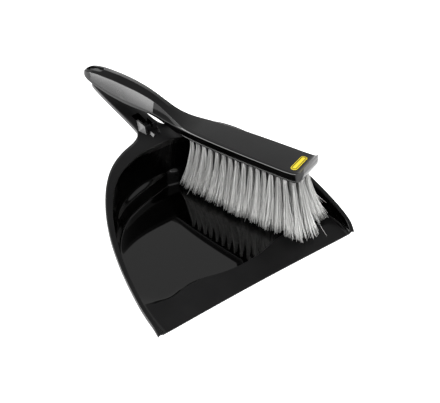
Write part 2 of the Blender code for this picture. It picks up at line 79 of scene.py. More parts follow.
# Plan line of the back of the ramp, on the left and on the right.
RIDGE = ((0, 26), (20, 27.2), (34, 31), (46, 35), (56, 36.2), (66, 33.6), (76, 29.6), (84, 28.6), (92, 32))
RIDGE += ((99, 38), (104, 43))
RIDGE_RIGHT = ((0, 26), (20, 27.2), (34, 31), (46, 35), (56, 36), (64, 33), (72, 28.6), (80, 24.4), (88, 22))
RIDGE_RIGHT += ((96, 21.4), (110, 21.2))
# The lip bows back in the middle: (by how much, X where that ends).
LIP_BOW = (1.6, 108)
RAMP_SHARES = (0.0, 0.12, 0.45, 0.85, 1.0)
FOLLOW_STEP = 0.34
# Creases of the ramp: (strength, reach each way, highest Z, widest X).
RIDGE_CREASE = (0.75, 0.4, 5.0, 100.0)
WALL_LEAN = (2.2, 3.6)
FILLET = (1.4, 2.2)
FILLET_FROM = 108.0
FILLET_STEPS = 4
FILLET_MOST = 0.6
# Step in the back wall: (depth, half height of its slope, height above the floor), where it starts and ends
# in points of the mouth from a front corner, and the largest shares of the wall's height it may take.
LEDGE = (6.0, 4.0, 17.0)
LEDGE_SPAN = (11.8, 24.0)
LEDGE_MOST = (0.45, 0.12)
# Its section from the top down: (share of the lean, share of the depth, share of the half height).
LEDGE_SECTION = ((0.35, 0.0, 1.0), (0.4, 0.12, 0.35), (0.5, 0.88, -0.35), (0.6, 1.0, -1.0))
# Rounded inner edge of the rim: how far in, how far down, and its largest share of the wall's height.
RIM_EDGE = (0.32, 0.8, 0.3)
RIM_END = 181
FLANGE_FALL = 0.2
FLANGE_EDGE = (0.9, 0.3)
HEM_DROP = 2.6
SKIRT_DROP = 4.0
# Rings of the turned edge, as (outwards, share of the drop), and the largest drop of the inner rings.
HEM_RINGS = ((0.33, 0.12), (0.6, 0.35), (0.85, 1.0))
HEM_BEND_MOST = 0.9
# The turned edge keeps off the ground: (share of the height above it, least height).
HEM_CLEAR = (0.7, 0.5)
# The edge grows into the handle's skirt from this D, over this length.
SKIRT_SPAN = (178.0, 25.0)
# Handle: (D, half width), then a half round end.
HANDLE = ((184.6, 16.6), (188.5, 13.9), (193, 12.2), (199, 11.4), (207, 11.0), (218, 10.8), (231, 10.7))
HANDLE += ((244, 10.6), (257, 10.3), (269, 9.9), (279, 9.3))
HANDLE_END = (287.0, 8.8)
HANDLE_CROWN = 1.2
HANDLE_Z = ((181, 59.4), (200, 58.6), (240, 58.2), (300, 56.0))
# Collar on the neck: X from and to, side view as (D, Z), then boxes as (X from, X to, D from, D to).
COLLAR_X = (-6.9, 6.3)
COLLAR_PROFILE = ((185.1, 49.6), (185.1, 65.6), (198.3, 64.6), (198.3, 58.3), (217.3, 58.3), (217.3, 49.6))
POCKET = (-5.1, 3.2, 187.4, 215.4)
POCKET_FLOOR = 51.4
COLLAR_SLIT = (-0.3, 1.7, 183.0, 188.4)
SLIT_FROM = 60.6
NECK_CUT_TOP = 80.0
# Corners of the collar's sloping side as (X, D, Z), and the two neck ribs: section as (X, Z), ends as (X, D).
COLLAR_SIDE = ((-7.6, 200.4, 64.9), (-7.0, 186.2, 65.8), (-8.4, 181.4, 59.0), (-11.3, 191.2, 58.8))
COLLAR_SIDE += ((-5.7, 200.4, 64.4), (-5.7, 186.2, 65.3), (-5.7, 182.0, 58.3), (-5.7, 198.0, 57.9))
RIB_SECTION = ((-2.2, 58.6), (2.2, 58.6), (-0.1, 61.2), (0.1, 61.2))
RIBS = (((-3.4, 185.9), (-2.7, 175.0)), ((6.9, 188.0), (3.2, 175.4)))
# Dip in the rim right of the neck: (middle X, half reach, depth, D of its start, length it grows over).
SADDLE = (27.0, 21.0, 5.0, 150.0, 10.0)
# Hanging slot as (X, D, radius, half length), and the height and half depth of its cutter.
PAN_HOLE = (0.0, 282.5, 3.8, 7.0)
PAN_HOLE_CUT = (58, 20)
SLOT_STEPS = 14
GROUND_TRIM = ((-200, LIP_Y - 50, -20), (200, LIP_Y + 400, 0))
PAN_SMOOTH_ANGLE = 32.0

# ---- Brush, in its own frame: +Y towards its handle, Z = 0 on the face that holds the tufts.
BRUSH_AT = (72.3, 38.2, 73.0)
BRUSH_YAW = 19.5
BRUSH_PITCH = 5.0
# (Y, half width, bottom, top of the side, shoulder share of the half width, crown)
BLOCK = (
    (-11.6, 12.4, 11.0, 18.0, 0.97, 18.3),
    (-10.8, 14.0, 7.0, 16.2, 0.97, 16.6),
    (-8.6, 15.6, 2.4, 13.4, 0.96, 14.0),
    (-5.0, 16.8, 0.3, 11.5, 0.95, 12.2),
    (0.0, 17.4, 0.0, 10.6, 0.94, 11.6),
    (10.0, 17.6, 0.0, 10.2, 0.93, 11.3),
    (35.0, 17.4, 0.0, 10.2, 0.93, 11.3),
    (65.0, 16.8, 0.0, 10.2, 0.92, 11.3),
    (95.0, 15.6, 0.0, 10.0, 0.91, 11.2),
    (117.0, 14.0, 0.0, 9.4, 0.90, 11.2),
    (130.0, 12.4, 0.2, 8.8, 0.86, 12.2),
    (142.0, 10.8, 1.6, 8.0, 0.78, 15.2),
    (152.0, 9.8, 4.6, 8.6, 0.70, 19.8),
    (162.0, 9.9, 8.6, 11.2, 0.62, 25.2),
    (174.0, 10.8, 11.8, 14.2, 0.58, 30.2),
    (188.0, 12.0, 13.6, 16.2, 0.58, 34.0),
    (204.0, 12.6, 15.4, 18.0, 0.60, 36.4),
    (220.0, 12.4, 17.8, 20.2, 0.62, 37.6),
    (236.0, 11.4, 21.2, 23.4, 0.66, 37.4),
    (248.0, 10.2, 23.8, 25.8, 0.72, 35.8),
    (255.0, 8.4, 25.4, 27.3, 0.80, 34.0),
    (259.0, 6.2, 26.6, 28.1, 0.86, 32.2),
    (261.4, 3.2, 27.6, 28.8, 0.90, 30.6),
)
# Y of the cross-sections: close together at the nose and at the end of the handle, even between.
NOSE_RINGS = (-11.6, -11.3, -10.9, -10.2, -9.4, -8.6, -7.6, -6.4, -5.0, -3.5, -1.8)
RING_PITCH = 2.5
END_RINGS = (249.5, 251.5, 253.5, 255.5, 257.2, 258.6, 259.8, 260.7, 261.4)
SHOULDER_RISE = 0.84
SHOULDER_IN = 0.35
# Radius of the shoulder's round along Y.
SHOULDER_ROUND = ((0, 0.9), (40, 1.2), (80, 2.3), (118, 2.8), (142, 0.6))
BOTTOM_FLAT = 0.5
BOTTOM_EDGE = (0.3, 0.8)
SIDE_ROUND = (1.7, 0.5)
ROUND_STEPS = 3
ROUND_MOST = 0.45
# Groove round the side: four heights and its depth, in full where the side is this tall, fading out over Y.
GROOVE = (1.7, 2.1, 2.7, 3.1, 0.55)
GROOVE_ROUNDS = (0.3, 0.2, 0.2, 0.3)
GROOVE_FULL = 10.0
GROOVE_ENDS = (118.0, 140.0)
# Finishes of the block change at these Y, and at these strips counted round its section.
FRONT_FACE = -5.5
GRIP_FROM = 128.0
FACETS = (25, 34)
FACET_SPAN = (167.0, 247.0)
DECK = (29, 30)
DULL_SPAN = (112.0, 165.0)
DECK_COAT = 0.48
DECK_COAT_ROUGH = 0.3
BLOCK_SMOOTH_ANGLE = 28.0
# Hanging slot as (Y, radius, half length), and the height and half depth of its cutter.
BRUSH_HOLE = (246.8, 3.8, 11.4)
BRUSH_HOLE_CUT = (28, 14)
BADGE_AT = (-1.0, 0.8)
BADGE_SIZE = (21.6, 7.0, 0.7)
BADGE_CORNER = 2.6
BADGE_SINK = 0.35
BADGE_GAP = 0.3
BADGE_SMOOTH_ANGLE = 40.0
BADGE_TOP = BADGE_SIZE[2] - BADGE_SINK
# Layers as (grown by, height above the deck, finish): its recess, then the plate with its sunk border.
BADGE_RECESS = ((BADGE_GAP, -BADGE_SINK - BADGE_GAP, 0), (BADGE_GAP, 6.0, 0))
BADGE_LAYERS = ((0.0, -BADGE_SINK, 0), (0.0, BADGE_TOP - 0.25, 0), (-0.08, BADGE_TOP - 0.08, 0))
BADGE_LAYERS += ((-0.25, BADGE_TOP, 0), (-0.8, BADGE_TOP, 0), (-0.9, BADGE_TOP - 0.12, 1))
BADGE_LAYERS += ((-1.6, BADGE_TOP - 0.12, 1), (-1.7, BADGE_TOP, 1), (-1.9, BADGE_TOP, 0))

# ---- Tufts: (X of the row, Y of the first tuft, pitch, how many, splay sideways, splay at the back).
TUFT_ROWS = (
    (-13.0, 1.0, 7.9, 16, -12.6, 6.6),
    (-4.6, -2.4, 10.3, 12, -4.6, 4.0),
    (4.6, 2.6, 10.3, 12, 4.6, -5.0),
    (13.0, 1.0, 7.9, 16, 12.0, -10.0),
)
# The right-hand tufts are held back by the wall of the pan from this Y on.
WALL_FROM = 30.0
WALL_PUSH = 0.0146
FRONT_SPLAY = 14.0
FRONT_REACH = 62.0
BACK_REACH = 60.0
TIP_SHIFT = (3.2, 2.7)
FIELD = (-3.0, 121.0)
FRONT_EASE = 0.35
CORNER_PULL = 1.6
OUTER_ROW = 10
# The rows draw together along the head: (share, Y where it starts, length).
ROW_TAPER = (0.16, 60.0, 60.0)
TUFT_ROOT_R = 1.6
TUFT_LEAN = 0.6
HOLE_GAP = 0.3
HOLE_DEPTH = 5.0
HOLE_BELOW = 4.0
HOLE_SIDES = 12
FILAMENTS = 92
FILAMENT_R = 0.26
FILAMENT_STEPS = 8
FILAMENT_FILL = 0.96
TIP_THIN = 0.35
TIP_GAP = 3.8
TIP_SEARCH = (-76.0, -30.0, 18)
# Filaments stick together in bunches: how many in each, how much shorter, bowed and twisted a bunch may be.
BUNCH = 4
BUNCH_SHORT = 1.5
BUNCH_BOW = 0.7
BUNCH_TWIST = 0.35
# How much one filament differs from its bunch: turn, reach, end height and bow.
OWN_TURN = 0.25
OWN_REACH = 0.07
LEAST_REACH = 0.05
OWN_END = 0.3
OWN_BOW = 0.2
FLARE_R = 5.3
FRONT_FLARE = 0.4
FLARE_RANGE = (0.85, 1.1)
BEND_POWER = (1.4, 2.2)
THICKNESS_RANGE = (0.85, 1.2)
# Strays: how many, how much wider they flare, and how much higher they end.
STRAY_SHARE = 0.05
STRAY_FLARE = (1.4, 2.6)
STRAY_END = (-2, 14)
# The first tufts of the two middle rows show at the front, so they take the finish of the outer ones without
# the painted shade.
FRONT_TUFTS = 3

# ---- Finishes: (darker shade, lighter shade, roughness, unevenness, rub marks, grain strength, specular)
PLASTICS = {
    "black_gloss": ((0.0002, 0.0002, 0.0002), (0.0006, 0.0006, 0.0006), 0.03, 0.015, 0.02, 0.01, 0.45),
    "black_satin": ((0.003, 0.003, 0.0032), (0.0055, 0.0055, 0.0057), 0.36, 0.12, 0.08, 0.25, 0.17),
    "black_shell": ((0.0005, 0.0005, 0.0005), (0.0015, 0.0015, 0.0015), 0.12, 0.05, 0.05, 0.05, 0.5),
    "black_deck": ((0.002, 0.002, 0.0021), (0.004, 0.004, 0.0041), 0.30, 0.10, 0.08, 0.18, 0.2),
    "polished_facet": ((0.004, 0.004, 0.0042), (0.007, 0.007, 0.0072), 0.24, 0.06, 0.05, 0.08, 0.6),
    "black_hollow": ((0.0002, 0.0002, 0.0002), (0.0006, 0.0006, 0.0006), 0.06, 0.03, 0.02, 0.02, 0.1),
    "yellow_plate": ((0.78, 0.60, 0.01), (0.86, 0.68, 0.03), 0.35, 0.10, 0.05, 0.1, 0.4),
    "plate_border": ((0.02, 0.018, 0.004), (0.04, 0.035, 0.006), 0.4, 0.10, 0.05, 0.1, 0.4),
}
GRAIN_DEPTH = 0.0001
# What each piece uses, in the order of its slots, and names for those slots.
PAN_LOOKS = ("black_gloss", "black_satin", "polished_facet", "black_hollow")
GLOSS, SATIN, POLISHED, HOLLOW = range(4)
BLOCK_LOOKS = ("black_shell", "polished_facet", "black_deck", "black_hollow")
SHELL, LEAF, TOP_DECK, LEAF_START = range(4)
BADGE_LOOKS = ("yellow_plate", "plate_border")
# Filament shades as (dark, light); as painted light the tips are palest at the low end of this span of
# heights, in metres, and the roots darker as painted shade under the head.
# The second pair is darker as painted shade for the tufts of the middle rows, which lie in shadow between the
# outer ones.
FILAMENT_SHADES = {"grey_filament": (0.06, 0.95), "grey_filament_painted_shade": (0.03, 0.34)}
# Colour the tips pale to, as painted light.
PAINTED_TIP_LIGHT = (0.97, 0.97, 0.95, 1)
PAINTED_TIP_SPAN = (0.065, 0.008)
BRISTLE_SPECULAR = 0.4

# ---- Camera and light
FLOOR_REACH = 4000
FLOOR_DROP = 0.0003
VIEW_FROM = (-35.25, 43.99)
VIEW_AT = (0.01373, 0.00603, 0.030)
VIEW_DISTANCE = 1.0
LENS = 84.45
ROOM_LIGHT = 0.68
ROOM_SEEN = 1.0
# Lamps: (name, direction from the set, distance, size, power, which rays it is hidden from)
LAMPS = (
    ("left_softbox", (-0.93, 0.22, 0.24), 0.9, (1.0, 0.4), 10.0, "visible_diffuse"),
    ("key_softbox", (-0.2, -0.72, 0.66), 1.5, (0.6, 0.6), 16.0, "visible_glossy"),
    ("right_fill", (0.7, 0.45, 0.55), 1.5, (0.7, 0.7), 5.0, "visible_glossy"),
    ("rear_fill", (-0.25, 0.8, 0.55), 1.5, (0.7, 0.7), 5.0, "visible_glossy"),
)


# ================================================================ helpers


def between(table, at):
    """Straight-line value of a table of (place, value) pairs."""
    if at <= table[0][0]:
        return table[0][1]
    for (a, low), (b, high) in zip(table, table[1:]):
        if at <= b:
            return low + (high - low) * (at - a) / (b - a)
    return table[-1][1]


def flowing(table, at):
    """Smooth value of the same table: a cubic through its points that keeps their slopes."""
    places = [p for p, _ in table]
    values = [v for _, v in table]
    if at <= places[0]:
        return values[0]
    if at >= places[-1]:
        return values[-1]
    slopes = [(v1 - v0) / (p1 - p0) for p0, p1, v0, v1 in zip(places, places[1:], values, values[1:])]
    bends = [slopes[0]]
    for s0, s1 in zip(slopes, slopes[1:]):
        bends.append(0.0 if s0 * s1 <= 0 else 2 * s0 * s1 / (s0 + s1))
    bends.append(slopes[-1])
    for k in range(len(places) - 1):
        if at <= places[k + 1]:
            run = places[k + 1] - places[k]
            t = (at - places[k]) / run
            keep = 2 * t ** 3 - 3 * t ** 2 + 1
            go = -2 * t ** 3 + 3 * t ** 2
            out = t ** 3 - 2 * t ** 2 + t
            into = t ** 3 - t ** 2
            return keep * values[k] + go * values[k + 1] + run * (out * bends[k] + into * bends[k + 1])
    return values[-1]


def rounded(table, at, reach=4.0):
    """The straight-line value averaged over a short reach, which rounds the corners of the table."""
    steps = 9
    shifts = (reach * (2 * k / (steps - 1) - 1) for k in range(steps))
    return sum(between(table, abs(at + shift)) for shift in shifts) / steps


def collection(name):
    made = bpy.data.collections.new(name)
    bpy.context.scene.collection.children.link(made)
    return made


def add(name, bm, where, looks=()):
    """A new object from a bmesh in millimetres, its normals facing out."""
    bmesh.ops.recalc_face_normals(bm, faces=bm.faces)
    mesh = bpy.data.meshes.new(name)
    bm.to_mesh(mesh)
    bm.free()
    mesh.transform(Matrix.Scale(MM, 4))
    made = bpy.data.objects.new(name, mesh)
    where.objects.link(made)
    for look in looks:
        mesh.materials.append(look)
    return made


def quads(bm, row_a, row_b, look=0):
    """Faces between two rows of points. Where the rows share a point, the face is a triangle."""
    for a0, a1, b1, b0 in zip(row_a, row_a[1:], row_b[1:], row_b):
        corners = [a0, a1, b1, b0]
        kept = [v for k, v in enumerate(corners) if v is not corners[k - 1]]
        if len(kept) > 2:
            bm.faces.new(kept).material_index = look


def boolean(obj, other, operation):
    cut = obj.modifiers.new(operation.title() + "_" + other.name, "BOOLEAN")
    cut.operation = operation
    cut.solver = "EXACT"
    cut.object = other


def settle(obj, angle=35.0):
    """Applies every modifier, then shades smooth between faces closer than the angle."""
    graph = bpy.context.evaluated_depsgraph_get()
    mesh = bpy.data.meshes.new_from_object(obj.evaluated_get(graph))
    obj.modifiers.clear()
    obj.data = mesh
    mesh.shade_smooth()
    mesh.set_sharp_from_angle(angle=math.radians(angle))
    return obj


def cut_box(name, low, high, where):
    bm = bmesh.new()
    bmesh.ops.create_cube(bm, size=1.0)
    bmesh.ops.scale(bm, vec=Vector(high) - Vector(low), verts=bm.verts)
    bmesh.ops.translate(bm, vec=(Vector(high) + Vector(low)) / 2, verts=bm.verts)
    return add(name, bm, where)


def slot_cutter(name, centre, radius, half, depth, where):
    """A round-ended slot cutter, long in Y."""
    bm = bmesh.new()
    ring = []
    for end in (1, -1):
        for k in range(SLOT_STEPS + 1):
            turn = math.pi * k / SLOT_STEPS
            across = end * radius * math.cos(turn)
            ring.append((centre.x + across, centre.y + end * (half - radius + radius * math.sin(turn))))
    low = [bm.verts.new((x, y, centre.z - depth)) for x, y in ring]
    grown = bmesh.ops.extrude_face_region(bm, geom=[bm.faces.new(low)])
    moved = [g for g in grown["geom"] if isinstance(g, bmesh.types.BMVert)]
    bmesh.ops.translate(bm, vec=(0, 0, 2 * depth), verts=moved)
    return add(name, bm, where)


# ================================================================ dustpan


def pan_point(x, d, z):
    return Vector((x, LIP_Y + d, z))


def dip(x, d):
    """How far the rim drops at a point of the saddle."""
    middle, reach, depth, start, growth = SADDLE
    off = min(abs(x - middle) / reach, 1.0)
    along = min(max((d - start) / growth, 0.0), 1.0)
    return depth * along * 0.5 * (1 + math.cos(math.pi * off))


def mouth_line():
    """The mouth of the well from the front left corner round to the front right, with the flange widths."""
    half = [(x, d, w) for (x, d), w in zip(MOUTH_SIDE, FLANGE_SIDE)]
    flange = list(FLANGE_BACK) + [0.0] * (len(MOUTH_BACK) - len(FLANGE_BACK))
    half += [(x, d, w) for (x, d), w in zip(MOUTH_BACK, flange)]
    left = [(-x, d, w) for x, d, w in half]
    return left + half[-2::-1]


def outwards(line, i):
    """Unit plan normal of the mouth line at a point, away from the well."""
    a = line[max(i - 1, 0)]
    b = line[min(i + 1, len(line) - 1)]
    dx, dy = b[0] - a[0], b[1] - a[1]
    size = math.hypot(dx, dy)
    return -dy / size, dx / size


def ridge_d(x):
    return rounded(RIDGE_RIGHT if x > 0 else RIDGE, x)


def floor_z(x, d):
    """Height of the ramp and the floor behind it."""
    ridge = ridge_d(x)
    if d <= ridge:
        return LIP_Z + (RIDGE_Z - LIP_Z) * d / ridge
    share = min((d - ridge) / RIDGE_DROP, 1.0)
    return RIDGE_Z + (FLOOR_Z - RIDGE_Z) * share


def ledge_share(line, i):
    """How much of the step in the back wall there is at one point of the line: none along the sides."""
    start, end = LEDGE_SPAN
    place = min(i, len(line) - 1 - i)
    share = (place - start) / (end - start)
    return math.sin(math.pi * share) if 0 < share < 1 else 0.0


def wall_chain(line, i):
    """From the mouth down to the floor at one point of the line: mouth, step of the wall, fillet, foot."""
    x, d, _ = line[i]
    nx, ny = outwards(line, i)
    share = min(d / MOUTH_BACK[-1][1], 1.0)
    lean = WALL_LEAN[0] + (WALL_LEAN[1] - WALL_LEAN[0]) * share
    grow = min(max((d - FILLET_FROM) / (MOUTH_BACK[-1][1] - FILLET_FROM), 0.0), 1.0)
    radius = FILLET[0] + (FILLET[1] - FILLET[0]) * grow * grow * (3.0 - 2.0 * grow)
    top = between(RIM_HEIGHT, d) - dip(x, d)
    foot = floor_z(x, d)
    tall = top - foot
    radius = min(radius, FILLET_MOST * tall)
    inset, down, most = RIM_EDGE
    chain = [pan_point(x, d, top)]
    chain.append(pan_point(x - nx * inset, d - ny * inset, top - min(down, most * tall)))
    depth, fall, at = LEDGE
    step = depth * ledge_share(line, i)
    at = foot + min(at, LEDGE_MOST[0] * tall)
    fall = min(fall, LEDGE_MOST[1] * tall)
    for lean_share, step_share, rise in LEDGE_SECTION:
        inward = lean_share * lean + step_share * step
        chain.append(pan_point(x - nx * inward, d - ny * inward, at + rise * fall))
    for k in range(FILLET_STEPS + 1):
        turn = 0.5 * math.pi * k / FILLET_STEPS
        inward = lean + step + radius * (1 - math.cos(turn))
        height = foot + radius * (1 - math.sin(turn))
        chain.append(pan_point(x - nx * inward, max(d - ny * inward, 0.0), height))
    return chain


def outer_point(line, i):
    """Outer edge of the flange."""
    x, d, width = line[i]
    if width:
        nx, ny = outwards(line, i)
        px, pd = x + nx * width, max(d + ny * width, 0.0)
        return pan_point(px, pd, between(RIM_HEIGHT, min(pd, RIM_END)) - FLANGE_FALL - dip(px, pd))
    k = abs(i - len(line) // 2)
    px, pd = NECK_AT_FLANGE[len(NECK_AT_FLANGE) - 1 - k]
    px = math.copysign(px, x)
    return pan_point(px, pd, between(HANDLE_Z, pd) - dip(px, pd))


def handle_rows():
    """Rows of seven points across the handle of the pan, the last one round its end."""
    shares = [k / 3 for k in range(-3, 4)]
    rows = []
    for d, half in HANDLE:
        z = between(HANDLE_Z, d)
        crown = HANDLE_CROWN * min((d - HANDLE[0][0]) / 20.0, 1.0)
        rows.append([pan_point(half * s, d, z + crown * (1 - s * s)) for s in shares])
    d, half = HANDLE_END
    z = between(HANDLE_Z, d)
    turns = [0.5 * math.pi * s for s in shares]
    rows.append([pan_point(half * math.sin(t), d + half * math.cos(t), z) for t in turns])
    return rows


def floor_place(left, right, share, row):
    """Place of a floor point. The front rows follow the back line of the ramp, the rest straighten out."""
    x = left.x + (right.x - left.x) * share
    straight = left.y - LIP_Y
    if row < len(RAMP_SHARES):
        bow, reach = LIP_BOW
        bowed = bow * (1 - (x / reach) ** 2)
        d = bowed + RAMP_SHARES[row] * (ridge_d(x) - bowed)
    elif row == len(RAMP_SHARES):
        d = ridge_d(x) + RIDGE_DROP
    else:
        follow = max(0.0, 1.0 - FOLLOW_STEP * (row - len(RAMP_SHARES)))
        d = straight + follow * (ridge_d(x) - ridge_d(left.x))
    return pan_point(x, d, floor_z(x, d))


def fill_floor(bm, chains):
    """Ramp and floor between the feet of the walls. The ramp takes the satin finish."""
    count, sides = len(chains), len(MOUTH_SIDE)
    back = [chains[i][-1] for i in range(sides - 1, count - sides + 1)]
    columns = len(back) - 1
    rows = []
    for j in range(sides - 1):
        left, right = chains[j][-1], chains[count - 1 - j][-1]
        inner = [bm.verts.new(floor_place(left.co, right.co, c / columns, j)) for c in range(1, columns)]
        rows.append([left, *inner, right])
    rows.append(back)
    for j, (a, b) in enumerate(zip(rows, rows[1:])):
        quads(bm, a, b, SATIN if j < len(RAMP_SHARES) else GLOSS)


def hem(bm, edge):
    """Turns the outer edge down: a little on the flange, more on the handle."""
    points = [v.co.copy() for v in edge]
    top = edge
    start, growth = SKIRT_SPAN
    above, least = HEM_CLEAR
    for out, share in HEM_RINGS:
        ring = []
        for k, p in enumerate(points):
            a = points[max(k - 1, 0)]
            b = points[min(k + 1, len(points) - 1)]
            run = Vector((b.x - a.x, b.y - a.y, 0)).normalized()
            grip = min(max((p.y - LIP_Y - start) / growth, 0.0), 1.0)
            drop = HEM_DROP + (SKIRT_DROP - HEM_DROP) * grip
            drop = share * min(drop, above * max(p.z, least))
            if share < 1.0:
                drop = min(drop, HEM_BEND_MOST)
            place = p + Vector((-run.y, run.x, 0)) * out - Vector((0, 0, drop))
            place.y = max(place.y, LIP_Y)
            ring.append(bm.verts.new(place))
        quads(bm, ring, top, POLISHED)
        top = ring


def flange_and_handle(bm, line, chains):
    """The flange with a narrow strip along the mouth, the neck, the handle and the turned edge round them."""
    count = len(line)
    middle = count // 2
    outer = [bm.verts.new(outer_point(line, i)) for i in range(count)]
    tops = [chain[0] for chain in chains]
    near = []
    for a, b in zip(tops, outer):
        run = b.co - a.co
        near.append(bm.verts.new(a.co + run * min(FLANGE_EDGE[0] / run.length, FLANGE_EDGE[1])))
    quads(bm, near, tops, SATIN)
    quads(bm, outer, near, SATIN)
    rows = [outer[middle - 3:middle + 4]]
    rows += [[bm.verts.new(p) for p in row] for row in handle_rows()]
    for a, b in zip(rows, rows[1:]):
        quads(bm, b, a, SATIN)
    left = [row[0] for row in rows[1:]]
    right = [row[-1] for row in rows[1:]]
    hem(bm, outer[:middle - 2] + left + rows[-1][1:-1] + right[::-1] + outer[middle + 3:])


def crease_ridge(bm):
    """Keeps the top and the foot of the ramp's back edge crisp."""
    layer = bm.edges.layers.float.new("crease_edge")
    strength, reach, highest, widest = RIDGE_CREASE
    for edge in bm.edges:
        mid = (edge.verts[0].co + edge.verts[1].co) / 2
        off = (mid.y - LIP_Y) - ridge_d(mid.x)
        run = edge.verts[0].co - edge.verts[1].co
        across = abs(run.x) > abs(run.y) and mid.z < highest and abs(mid.x) < widest
        if across and -reach < off < RIDGE_DROP + reach:
            edge[layer] = strength
        if len(edge.link_faces) == 1:
            edge[layer] = 1.0


def pan_sheet():
    """The whole inner and top skin of the pan as one open sheet."""
    bm = bmesh.new()
    line = mouth_line()
    chains = [[bm.verts.new(p) for p in wall_chain(line, i)] for i in range(len(line))]
    for a, b in zip(chains, chains[1:]):
        quads(bm, a[1:4], b[1:4], HOLLOW)
        quads(bm, a[:2], b[:2])
        quads(bm, a[3:], b[3:])
    fill_floor(bm, chains)
    flange_and_handle(bm, line, chains)
    crease_ridge(bm)
    return bm


def collar_block(where, looks):
    """Solid block of the collar and of the cup under it."""
    bm = bmesh.new()
    sides = [[bm.verts.new(pan_point(x, d, z)) for d, z in COLLAR_PROFILE] for x in COLLAR_X]
    for side in sides:
        bm.faces.new(side)
    quads(bm, sides[0] + sides[0][:1], sides[1] + sides[1][:1])
    for face in bm.faces:
        face.material_index = SATIN
    return add("collar_block", bm, where, looks)


def hull(name, points, where, looks):
    """The convex solid round some points of the pan, with the polished finish."""
    bm = bmesh.new()
    for x, d, z in points:
        bm.verts.new(pan_point(x, d, z))
    made = bmesh.ops.convex_hull(bm, input=bm.verts)
    inside = [v for v in made["geom_interior"] if isinstance(v, bmesh.types.BMVert)]
    bmesh.ops.delete(bm, geom=inside, context="VERTS")
    for face in bm.faces:
        face.material_index = POLISHED
    return add(name, bm, where, looks)


def rib(name, ends, where, looks):
    """A thin upright rib on the neck, between two ends as (X, D)."""
    points = [(x + side, d, z) for x, d in ends for side, z in RIB_SECTION]
    return hull(name, points, where, looks)


def neck_box(name, span, low, where):
    """A cutter on the neck, from (X from, X to, D from, D to) and the height it starts at."""
    x0, x1, d0, d1 = span
    return cut_box(name, (x0, LIP_Y + d0, low), (x1, LIP_Y + d1, NECK_CUT_TOP), where)


def dustpan(where, tools, looks):
    """The pan as one skin with a wall thickness, then its collar, ribs, pocket, slit and hanging slot."""
    pan = add("pan", pan_sheet(), where, looks)
    smooth = pan.modifiers.new("Smooth", "SUBSURF")
    smooth.levels = 2
    smooth.render_levels = 2
    shell = pan.modifiers.new("Shell", "SOLIDIFY")
    shell.thickness = WALL * MM
    shell.offset = -1.0
    shell.use_even_offset = True
    pan.modifiers.new("Triangles", "TRIANGULATE")
    settle(pan)
    joined = [collar_block(tools, looks), hull("collar_side", COLLAR_SIDE, tools, looks)]
    joined += [rib(f"neck_rib_{k}", ends, tools, looks) for k, ends in enumerate(RIBS)]
    for solid in joined:
        boolean(pan, solid, "UNION")
    boolean(pan, neck_box("pocket", POCKET, POCKET_FLOOR, tools), "DIFFERENCE")
    boolean(pan, neck_box("collar_slit", COLLAR_SLIT, SLIT_FROM, tools), "DIFFERENCE")
    x, d, radius, half = PAN_HOLE
    z, depth = PAN_HOLE_CUT
    boolean(pan, slot_cutter("pan_slot", pan_point(x, d, z), radius, half, depth, tools), "DIFFERENCE")
    boolean(pan, cut_box("ground", *GROUND_TRIM, tools), "DIFFERENCE")
    return settle(pan, PAN_SMOOTH_ANGLE)


# ================================================================ brush


def soften(corners, steps):
    """Rounds the corners of an open line of (x, z, radius)."""
    made = []
    for k, (x, z, radius) in enumerate(corners):
        here = Vector((x, z))
        if not radius:
            made.append(here)
            continue
        back = Vector(corners[k - 1][:2]) - here
        on = Vector(corners[k + 1][:2]) - here
        reach_back = min(radius, ROUND_MOST * back.length)
        reach_on = min(radius, ROUND_MOST * on.length)
        start = here + back.normalized() * reach_back
        end = here + on.normalized() * reach_on
        for s in range(steps + 1):
            t = s / steps
            made.append(start * (1 - t) ** 2 + here * 2 * t * (1 - t) + end * t ** 2)
    return made


def block_value(column, y):
    """Smooth value of one column of the block's table."""
    return flowing([(s[0], s[column]) for s in BLOCK], y)


def section(y):
    """Half outline of the brush block at Y, from the middle of the bottom to the middle of the top."""
    half, low, side, share, crown = (block_value(c, y) for c in range(1, 6))
    shoulder = half * share
    tall = side - low
    groove = 1.0 - min(max((y - GROOVE_ENDS[0]) / (GROOVE_ENDS[1] - GROOVE_ENDS[0]), 0.0), 1.0)
    scale = min(tall / GROOVE_FULL, 1.0)
    *heights, deep = (v * scale for v in GROOVE)
    deep *= groove
    corners = [(0, low, 0), (BOTTOM_FLAT * half, low, 0)]
    corners.append((half - BOTTOM_EDGE[0] * scale, low, BOTTOM_EDGE[1]))
    for height, inward, radius in zip(heights, (0, deep, deep, 0), GROOVE_ROUNDS):
        corners.append((half - inward, low + height, radius))
    corners.append((half, side, SIDE_ROUND[0] - SIDE_ROUND[1] * (1 - groove)))
    top = side + SHOULDER_RISE * (crown - side)
    corners += [(shoulder - SHOULDER_IN, top, between(SHOULDER_ROUND, y)), (0, crown, 0)]
    return soften(corners, ROUND_STEPS)


def ring_places():
    """Y of every cross-section of the block."""
    even = math.ceil(END_RINGS[0] / RING_PITCH)
    return [*NOSE_RINGS, *(RING_PITCH * k for k in range(even)), *END_RINGS]


def block_finish(y, strip):
    """Which finish a strip of the block takes: glossy shell, satin top, polished leaves on the handle."""
    if y < FRONT_FACE:
        return TOP_DECK
    if y < GRIP_FROM:
        return TOP_DECK if strip in DECK else SHELL
    if y > FACET_SPAN[1]:
        return SHELL
    if strip in FACETS:
        return LEAF if y > FACET_SPAN[0] else LEAF_START
    return TOP_DECK if FACETS[0] < strip < FACETS[1] else SHELL


